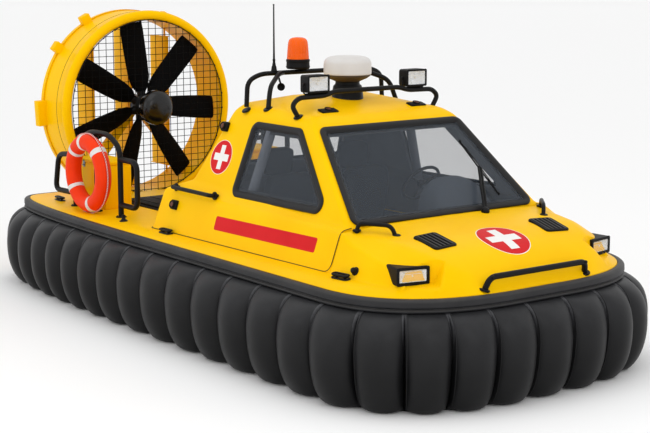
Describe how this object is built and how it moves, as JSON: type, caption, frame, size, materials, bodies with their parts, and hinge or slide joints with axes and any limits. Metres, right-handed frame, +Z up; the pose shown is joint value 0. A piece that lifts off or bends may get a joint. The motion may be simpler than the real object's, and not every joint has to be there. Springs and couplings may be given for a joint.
{
  "type": "hovercraft",
  "caption": "Light rescue hovercraft: a decked hull on a segmented rubber skirt, a hinged glazed canopy over a two-seat cab, and one ducted fan with rudders at the stern.",
  "frame": {"origin": "on the floor, under the middle of the skirt's outline", "axes": "+X towards the bow, +Y towards port, +Z up"},
  "size_m": [6.882, 3.3, 2.8884],
  "materials": {
    "yellow_gelcoat": "satin gelcoat on fibreglass",
    "skirt_rubber": "coated fabric",
    "fender_rubber": "satin",
    "black_metal": "satin",
    "black_plastic": "matte",
    "window_seal": "matte",
    "tinted_glass": "clear, tinted grey",
    "lamp_glass": "clear",
    "amber_plastic": "translucent",
    "white_plastic": "gloss",
    "orange_foam": "satin",
    "seat_fabric": "woven",
    "engine_metal": "bare"
  },
  "bodies": {
    "craft": {"bow_rail": "black_metal", "dashboard": "black_plastic", "deck_locker_port": "yellow_gelcoat", "deck_locker_starboard": "yellow_gelcoat", "duct": "yellow_gelcoat", "engine": "engine_metal", "engine_hatch": "black_plastic", "fan_guard": "black_metal", "fan_stay": "yellow_gelcoat", "headlamp_lens_port": "lamp_glass", "headlamp_lens_starboard": "lamp_glass", "headlamp_port": "black_plastic", "headlamp_starboard": "black_plastic", "hood_rail_port": "black_metal", "hood_rail_starboard": "black_metal", "hood_vent_port": "black_plastic", "hood_vent_starboard": "black_plastic", "hull": "yellow_gelcoat", "lifebuoy": "orange_foam", "rail_port": "black_metal", "rail_starboard": "black_metal", "rim_fender": "fender_rubber", "seat_port": "seat_fabric", "seat_starboard": "seat_fabric", "skirt": "skirt_rubber"},
    "canopy": {"canopy": "yellow_gelcoat", "windscreen": "tinted_glass", "windscreen_seal": "window_seal", "rear_window": "tinted_glass", "rear_window_seal": "window_seal", "side_window_port": "tinted_glass", "side_window_port_seal": "window_seal", "side_window_starboard": "tinted_glass", "side_window_starboard_seal": "window_seal", "roof_rack": "black_metal", "lamp_bar": "black_metal", "roof_lamp_port": "black_plastic", "roof_lamp_starboard": "black_plastic", "roof_lamp_lens_port": "lamp_glass", "roof_lamp_lens_starboard": "lamp_glass", "beacon_base": "black_plastic", "beacon_lens": "amber_plastic", "radar_foot": "black_plastic", "radar_dome": "white_plastic", "antenna": "black_plastic", "grab_handle_port": "black_metal", "grab_handle_starboard": "black_metal"},
    "fan": {"fan_rotor": "black_plastic"},
    "steering": {"steering_wheel": "black_plastic"},
    "rudder_1": {"rudder_1": "yellow_gelcoat"},
    "rudder_2": {"rudder_2": "yellow_gelcoat"},
    "rudder_3": {"rudder_3": "yellow_gelcoat"},
    "wiper": {"wiper": "black_plastic"}
  },
  "joints": [
    {"name": "canopy_hinge", "type": "hinge", "parent": "craft", "child": "canopy", "pos_m": [-0.59, 0, 0.8788], "axis": [0, -1, 0], "range_deg": [0, 55]},
    {"name": "fan_spin", "type": "hinge", "parent": "craft", "child": "fan", "pos_m": [-2.72, 0, 1.741], "axis": [1, 0, 0], "continuous": true},
    {"name": "steering_turn", "type": "hinge", "parent": "craft", "child": "steering", "pos_m": [1.25, 0.43, 1.36], "axis": [-0.8192, 0, 0.5736], "range_deg": [-135, 135]},
    {"name": "rudder_1_turn", "type": "hinge", "parent": "craft", "child": "rudder_1", "pos_m": [-3.045, -0.45, 1.741], "axis": [0, 0, 1], "range_deg": [-30, 30]},
    {"name": "rudder_2_turn", "type": "hinge", "parent": "craft", "child": "rudder_2", "pos_m": [-3.045, 0, 1.741], "axis": [0, 0, 1], "range_deg": [-30, 30]},
    {"name": "rudder_3_turn", "type": "hinge", "parent": "craft", "child": "rudder_3", "pos_m": [-3.045, 0.45, 1.741], "axis": [0, 0, 1], "range_deg": [-30, 30]},
    {"name": "wiper_sweep", "type": "hinge", "parent": "canopy", "child": "wiper", "pos_m": [2.16158, 0.35, 1.24271], "axis": [0.6763, 0, 0.7366], "range_deg": [-12, 70]}
  ],
  "couplings": [
    {"joint": "rudder_1_turn", "follows": "steering_turn", "ratio": -0.2222},
    {"joint": "rudder_2_turn", "follows": "steering_turn", "ratio": -0.2222},
    {"joint": "rudder_3_turn", "follows": "steering_turn", "ratio": -0.2222}
  ]
}
